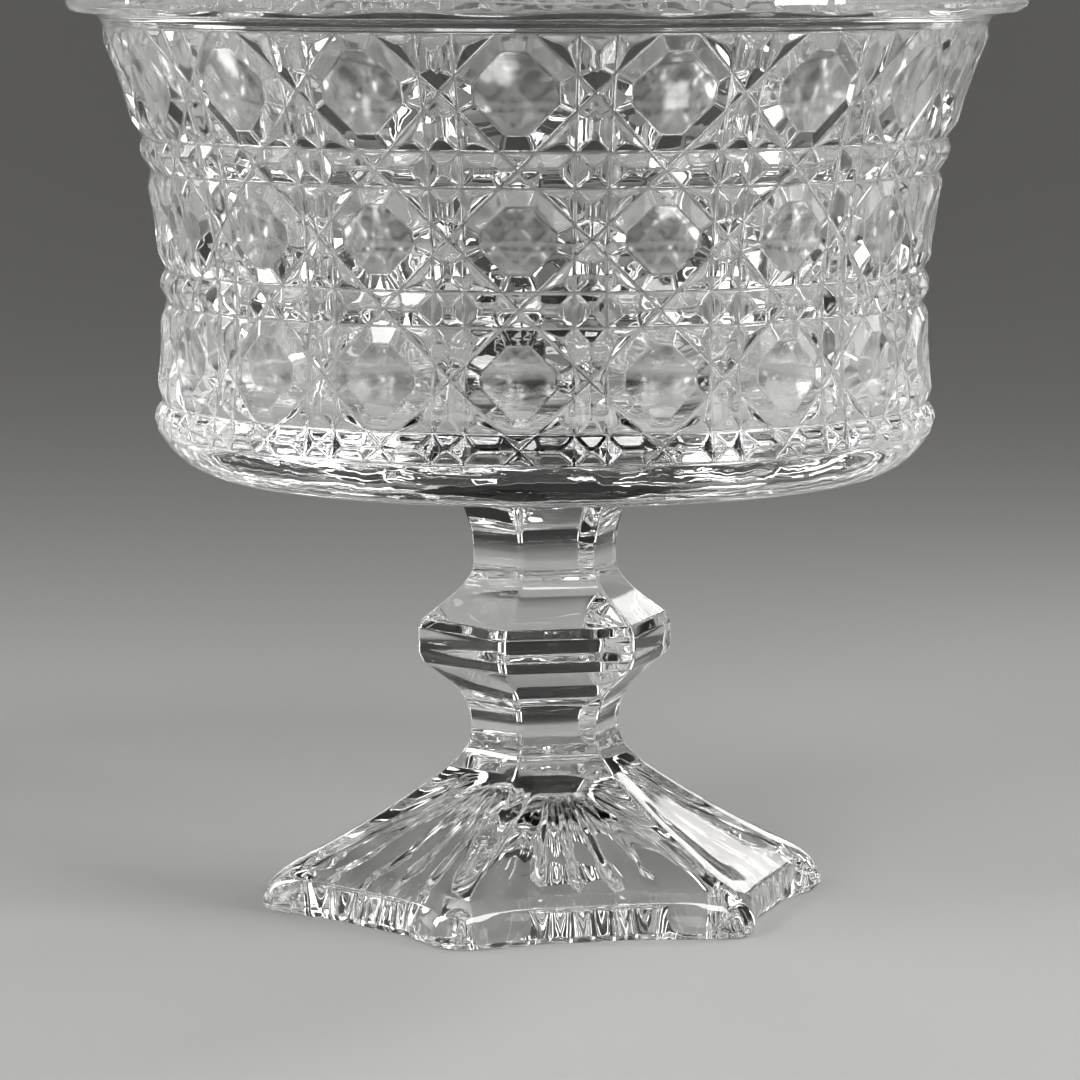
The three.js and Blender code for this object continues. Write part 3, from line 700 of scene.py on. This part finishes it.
def pedestal_surfaces():
    """The hollow, the rest face, the lobed foot, the stem with its knop, and the stem's top, from below.

    The dome of the hollow is lobed and fluted (stage DOME), its wall has six shallowly fluted sides with
    round corners (HOLLOW_SIDES), the stem has plain sides with crisper ones (STEM), and the foot's edge has
    lobes (LOBES). Higher up on the rounded nose, where the panels' edges are still upright, the lobes get
    less deep (beyond LOBES)."""
    hollow = (FOOT_RADIUS - PANEL_INSET - FOOT_WALL) / math.cos(math.pi / SIDES)
    wall_top = (hollow - HOLLOW_DRAFT, HOLLOW_WALL_HEIGHT, WALL_TOP_STAGE)
    crown = (HOLLOW_CROWN_RADIUS, HOLLOW_HEIGHT, STEM)
    nose = (FOOT_RADIUS - NOSE_LENGTH, NOSE_HEIGHT, LOBES)
    foot_top = (COLLAR_RADIUS + COLLAR_STEP, FOOT_HEIGHT - COLLAR_STEP, STEM)
    halfway = [(a + b) / 2 for a, b in zip(nose, foot_top)]
    halfway[1] -= FOOT_SAG
    ridge = curve(nose, halfway, foot_top)
    way = np.clip((ridge[:, 0] - COLLAR_RADIUS) / (nose[0] - COLLAR_RADIUS), 0, 1)
    ridge[:, 2] = STEM + way + FLUTE_DEPTH * np.sin(math.pi * way)
    foot_edge = (FOOT_RADIUS, FOOT_EDGE_HEIGHT, LOBES)
    nose_curve = curve(foot_edge, (FOOT_RADIUS, NOSE_TURN, LOBES), nose, steps=80)
    panel_ends = (PANEL_SHARE * FOOT_RADIUS, PANEL_SHARE * nose[0])
    panel = np.interp(nose_curve[:, 1], (PANEL_EDGE_HEIGHT, NOSE_HEIGHT), panel_ends)
    nose_curve[:, 2] = LOBES + (panel / nose_curve[:, 0] - PANEL_SHARE) / (SHALLOW_PANEL - PANEL_SHARE)
    bevel_radius = KNOP_RADIUS - KNOP_BEVEL_INSET
    edge_radius = KNOP_RADIUS - KNOP_EDGE_INSET
    bevel_slope = (KNOP_BEVEL_HEIGHT - KNOP_EDGE_HEIGHT) / (KNOP_BEVEL_INSET - KNOP_EDGE_INSET)
    upper, lower = UPPER_NECK_RADIUS, LOWER_NECK_RADIUS
    lower_turn = KNOP_BOTTOM - bevel_slope * (bevel_radius - lower)
    upper_turn = KNOP_TOP + bevel_slope * (bevel_radius - upper)
    path = np.concatenate([
        [(0, HOLLOW_HEIGHT, STEM), crown],
        curve(crown, (HOLLOW_SHOULDER_RADIUS, HOLLOW_HEIGHT, SHOULDER_STAGE), wall_top),
        [(hollow, 0, HOLLOW_SIDES), (FOOT_RADIUS - FOOT_EDGE_INSET, 0, LOBES), foot_edge],
        nose_curve,
        ridge,
        [(COLLAR_RADIUS, FOOT_HEIGHT, STEM)],
        curve((COLLAR_RADIUS, FOOT_HEIGHT, STEM), (lower, FOOT_HEIGHT + COLLAR_SWEEP_TURN, STEM),
              (lower, LOWER_NECK, STEM)),
        curve((lower, LOWER_NECK, STEM), (lower, lower_turn, STEM), (bevel_radius, KNOP_BOTTOM, STEM)),
        [(edge_radius, GIRDLE_BOTTOM - KNOP_EDGE_HEIGHT, STEM), (KNOP_RADIUS, GIRDLE_BOTTOM, STEM)],
        [(KNOP_RADIUS, GIRDLE_TOP, STEM), (edge_radius, GIRDLE_TOP + KNOP_EDGE_HEIGHT, STEM)],
        [(bevel_radius, KNOP_TOP, STEM)],
        curve((bevel_radius, KNOP_TOP, STEM), (upper, upper_turn, STEM), (upper, UPPER_NECK_BOTTOM, STEM)),
        [(upper, UPPER_NECK_TOP, STEM)],
        curve((upper, UPPER_NECK_TOP, STEM), (upper, UPPER_NECK_TOP + STEM_TOP_SWEEP_TURN, STEM),
              (STEM_TOP_RADIUS, PEDESTAL_HEIGHT, STEM)),
        [(BOND_RADIUS, PEDESTAL_HEIGHT, STEM), (0, PEDESTAL_HEIGHT, STEM)],
    ])
    around = pedestal_directions()
    outlines = [
        fluted(outline(dome_lobes, around, DOME_SOFTNESS), around, DOME_FLUTE_DEPTH),
        fluted(outline(hexagon, around, WALL_SOFTNESS), around, WALL_FLUTE_DEPTH),
        outline(hexagon, around, STEM_SOFTNESS),
        outline(lobed, around, LOBE_SOFTNESS),
        outline(shallow_lobed, around, LOBE_SOFTNESS),
    ]
    return [turned(path, around, outlines, longest=4, sharpest=math.radians(9), softness=0.35)]


def pedestal_directions():
    """Directions round the pedestal, close together where the foot's or the stem's outline turns."""
    edges = np.array([0, LOBE_TIP_ANGLE, LOBE_HALF_ANGLE])
    reach, closest = math.radians(2.4), math.radians(0.2)
    close = np.linspace(-1, 1, 9) * reach
    half = math.pi / SIDES
    one_side = np.concatenate([(edges[:, None] + close).ravel(), np.linspace(0, half, 24)])
    one_side = np.unique(np.round(one_side[(one_side >= 0) & (one_side <= half)], 6))
    one_side = one_side[np.r_[True, np.diff(one_side) > closest]]
    both = np.unique(np.round(np.r_[-one_side, one_side], 6))
    both = both[both < half - 1e-4]
    turns = np.arange(SIDES)[:, None] * 2 * half + both + PEDESTAL_TURN
    return np.sort(turns.ravel() % (2 * math.pi))


def bond_surfaces():
    """The film: a flat hexagon with a bulging edge, where the adhesive has been squeezed out."""
    middle = (PEDESTAL_HEIGHT + BOWL_BOTTOM) / 2
    edge = BOND_RADIUS - BOND_THICKNESS
    path = np.concatenate([
        [(0, PEDESTAL_HEIGHT, 0), (edge, PEDESTAL_HEIGHT, 0)],
        curve((edge, PEDESTAL_HEIGHT, 0), (BOND_RADIUS, PEDESTAL_HEIGHT, 0), (BOND_RADIUS, middle, 0)),
        curve((BOND_RADIUS, middle, 0), (BOND_RADIUS, BOWL_BOTTOM, 0), (edge, BOWL_BOTTOM, 0)),
        [(0, BOWL_BOTTOM, 0)],
    ])
    around = pedestal_directions()
    film = outline(hexagon, around, STEM_SOFTNESS)
    return [turned(path, around, [film], longest=4, sharpest=math.radians(20), softness=0.03)]


# Finishes


def link(tree, source, output, target, name):
    tree.links.new(source.outputs[output], target.inputs[name])


def noise(tree, coordinates, scale, detail):
    node = tree.nodes.new("ShaderNodeTexNoise")
    node.inputs["Scale"].default_value = scale
    node.inputs["Detail"].default_value = detail
    link(tree, coordinates, "Object", node, "Vector")
    return node


CRYSTAL_INDEX = 1.56
JOINED_INDEX = 1.0  # at a face with glass on both sides, so that light passes straight through
CRYSTAL_TINT = (0.985, 0.99, 0.985)
BOND_TINT = (0.985, 0.98, 0.965)
HAZE = 0.03
WAVINESS = 0.0001
INSIDE_WAVINESS = 0.0003
BUTTON_DULLNESS = 0.12
FINE_RIPPLE = 0.12  # height of the fine ripples, as a share of the wide ones


def clear_glass(name, index, tint, haze=0.0, waviness=0.0, dullness=0.0):
    """Clear glass: a noise tints it faintly, another varies its polish between dullness and dullness + haze,
    and two sizes of ripple move its surface."""
    material = bpy.data.materials.new(name)
    material.use_nodes = True
    tree = material.node_tree
    shader = tree.nodes["Principled BSDF"]
    shader.inputs["Transmission Weight"].default_value = 1.0
    shader.inputs["IOR"].default_value = index
    coordinates = tree.nodes.new("ShaderNodeTexCoord")

    cloud = noise(tree, coordinates, scale=14.0, detail=2.0)
    ramp = tree.nodes.new("ShaderNodeValToRGB")
    ramp.color_ramp.elements[0].position = 0.35
    ramp.color_ramp.elements[0].color = (*tint, 1.0)
    ramp.color_ramp.elements[1].position = 0.7
    ramp.color_ramp.elements[1].color = (1.0, 1.0, 1.0, 1.0)
    link(tree, cloud, "Fac", ramp, "Fac")
    link(tree, ramp, "Color", shader, "Base Color")

    patches = noise(tree, coordinates, scale=60.0, detail=3.0)
    polish = tree.nodes.new("ShaderNodeMapRange")
    polish.inputs["From Min"].default_value = 0.55
    polish.inputs["From Max"].default_value = 0.8
    polish.inputs["To Min"].default_value = dullness
    polish.inputs["To Max"].default_value = dullness + haze
    link(tree, patches, "Fac", polish, "Value")
    link(tree, polish, "Result", shader, "Roughness")

    wide = noise(tree, coordinates, scale=55.0, detail=1.0)
    fine = noise(tree, coordinates, scale=240.0, detail=1.0)
    height = tree.nodes.new("ShaderNodeMath")
    height.operation = "MULTIPLY_ADD"
    height.inputs[1].default_value = FINE_RIPPLE
    link(tree, fine, "Fac", height, 0)
    link(tree, wide, "Fac", height, 2)
    bump = tree.nodes.new("ShaderNodeBump")
    bump.inputs["Strength"].default_value = 1.0
    bump.inputs["Distance"].default_value = waviness
    link(tree, height, "Value", bump, "Height")
    link(tree, bump, "Normal", shader, "Normal")
    return material


def plain_surface(name, colour, roughness):
    material = bpy.data.materials.new(name)
    material.use_nodes = True
    shader = material.node_tree.nodes["Principled BSDF"]
    shader.inputs["Base Color"].default_value = (*colour, 1.0)
    shader.inputs["Roughness"].default_value = roughness
    return material


crystal = clear_glass("crystal", CRYSTAL_INDEX, CRYSTAL_TINT, HAZE, WAVINESS)
button_crystal = clear_glass("crystal_button", CRYSTAL_INDEX, CRYSTAL_TINT, HAZE, WAVINESS, BUTTON_DULLNESS)
pressed_inside = clear_glass("crystal_pressed_inside", CRYSTAL_INDEX, CRYSTAL_TINT, HAZE, INSIDE_WAVINESS)
bonded_crystal = clear_glass("crystal_under_bond", JOINED_INDEX, CRYSTAL_TINT)
cured_bond = clear_glass("cured_bond", JOINED_INDEX, BOND_TINT)

bowl_glasses = [crystal, bonded_crystal, button_crystal, pressed_inside]  # by the numbers of the finishes
bowl = glass_mesh("cane_cut_bowl", bowl_surfaces(), bowl_glasses, BOWL_BOTTOM)
pedestal = glass_mesh("lobed_pedestal", pedestal_surfaces(), [crystal, bonded_crystal], PEDESTAL_HEIGHT)
bond = glass_mesh("bond_film", bond_surfaces(), [cured_bond])
pieces = ((bowl, "bowl", "crystal"), (pedestal, "pedestal", "crystal"), (bond, "bond", "bond_film"))
for piece, node, slot in pieces:
    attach(piece, "root")
    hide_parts(node)


# Studio

scene = bpy.context.scene

FLOOR_RADIUS = 60.0
FLOOR_GAP = 0.0001
HORIZON_STRENGTH = 0.05
ABOVE_STRENGTH = 0.02
PANELS = 9
PANEL_TURN = 2.576
PANEL_STRENGTH = 2.6
LAMP_TARGET = (0, 0, 0.15)

PHOTO_PIXELS = 1080
FOCAL_PIXELS = 5150
SENSOR_MM = 36
CAMERA_TURN = math.radians(3.6)
CAMERA_DISTANCE = 1.34
CAMERA_HEIGHT = 0.259
HORIZON_PIXELS = 630  # how far the horizon lies above the picture's middle
AXIS_PIXELS = 5  # how far the bowl's axis lies to the right of it


def stage_floor():
    """A wide round floor, so that no edge of it shows at the photograph's angle. A hair of air stays between
    it and the foot, as under any glass that stands on a table."""
    bpy.ops.mesh.primitive_circle_add(
        vertices=96, radius=FLOOR_RADIUS, fill_type="NGON", location=(0, 0, -FLOOR_GAP))
    floor = bpy.context.object
    floor.name = "studio_floor"
    floor.data.materials.append(plain_surface("pale_floor", (0.52, 0.52, 0.51), 0.6))


def calculate(tree, operation, *values):
    """A Math node; numbers go into its sockets and pairs of node and output are linked to them."""
    node = tree.nodes.new("ShaderNodeMath")
    node.operation = operation
    for socket, value in enumerate(values):
        if isinstance(value, tuple):
            link(tree, *value, node, socket)
        else:
            node.inputs[socket].default_value = value
    return node, "Value"


def ramp_between(tree, value, low, high, at_low, at_high):
    """Runs smoothly from at_low to at_high while the value goes from low to high."""
    node = tree.nodes.new("ShaderNodeMapRange")
    node.interpolation_type = "SMOOTHSTEP"
    link(tree, *value, node, "Value")
    for name, number in zip(("From Min", "From Max", "To Min", "To Max"), (low, high, at_low, at_high)):
        node.inputs[name].default_value = number
    return node, "Result"


def studio_world():
    """Pale at the horizon and dark above it, with soft light panels standing in a ring at half height.

    With z the upward part of the direction and a its angle round the axis, the strength is a smooth step down
    from HORIZON_STRENGTH to ABOVE_STRENGTH, plus PANEL_STRENGTH times a step up and one down in z, times a
    step in sin(PANELS * a + PANEL_TURN)."""
    world = bpy.data.worlds.new("studio")
    world.use_nodes = True
    tree = world.node_tree
    background = tree.nodes["Background"]
    background.inputs["Color"].default_value = (1.0, 0.985, 0.965, 1.0)
    coordinates = tree.nodes.new("ShaderNodeTexCoord")
    split = tree.nodes.new("ShaderNodeSeparateXYZ")
    link(tree, coordinates, "Generated", split, "Vector")
    up = (split, "Z")
    sky = ramp_between(tree, up, 0.0, 0.1, HORIZON_STRENGTH, ABOVE_STRENGTH)
    around = calculate(tree, "ARCTAN2", (split, "Y"), (split, "X"))
    wave = calculate(tree, "SINE", calculate(tree, "MULTIPLY_ADD", around, float(PANELS), PANEL_TURN))
    upright = ramp_between(tree, wave, 0.7, 0.8, 0.0, 1.0)
    lower_edge = ramp_between(tree, up, 0.04, 0.06, 0.0, 1.0)
    upper_edge = ramp_between(tree, up, 0.48, 0.52, 1.0, 0.0)
    panel = calculate(tree, "MULTIPLY", calculate(tree, "MULTIPLY", lower_edge, upper_edge), upright)
    total = calculate(tree, "MULTIPLY_ADD", panel, PANEL_STRENGTH, sky)
    link(tree, *total, background, "Strength")
    scene.world = world


def softbox(name, place, width, height, power):
    """An area lamp that faces the lower part of the bowl."""
    lamp = bpy.data.lights.new(name, "AREA")
    lamp.shape = "RECTANGLE"
    lamp.size, lamp.size_y, lamp.energy = width, height, power
    holder = bpy.data.objects.new(name, lamp)
    scene.collection.objects.link(holder)
    holder.location = place
    holder.rotation_euler = (Vector(LAMP_TARGET) - Vector(place)).to_track_quat("-Z", "Y").to_euler()


def camera():
    """At the photograph's angle: a little round to the right and a little above the rim, with a long lens."""
    lens = bpy.data.cameras.new("camera")
    lens.sensor_width = SENSOR_MM
    lens.lens = SENSOR_MM * FOCAL_PIXELS / PHOTO_PIXELS
    holder = bpy.data.objects.new("camera", lens)
    scene.collection.objects.link(holder)
    place = (CAMERA_DISTANCE * math.sin(CAMERA_TURN), -CAMERA_DISTANCE * math.cos(CAMERA_TURN), CAMERA_HEIGHT)
    holder.location = place
    down = math.atan(HORIZON_PIXELS / FOCAL_PIXELS)
    holder.rotation_euler = (math.pi / 2 - down, 0, CAMERA_TURN + AXIS_PIXELS / FOCAL_PIXELS)
    scene.camera = holder


stage_floor()
studio_world()
softbox("key_left", (-0.62, -0.6, 0.72), 0.32, 0.32, 4.2)
softbox("strip_right", (0.85, -0.35, 0.45), 0.1, 0.45, 2.8)
softbox("strip_left", (-0.85, 0.2, 0.42), 0.08, 0.4, 1.6)
softbox("back_right", (0.5, 0.42, 0.62), 0.22, 0.18, 1.8)
softbox("top_front", (0.3, -0.5, 0.9), 0.32, 0.24, 3.2)
camera()
scene.view_settings.view_transform = "Standard"
scene.cycles.max_bounces = 32
scene.cycles.transmission_bounces = 32
scene.cycles.glossy_bounces = 16
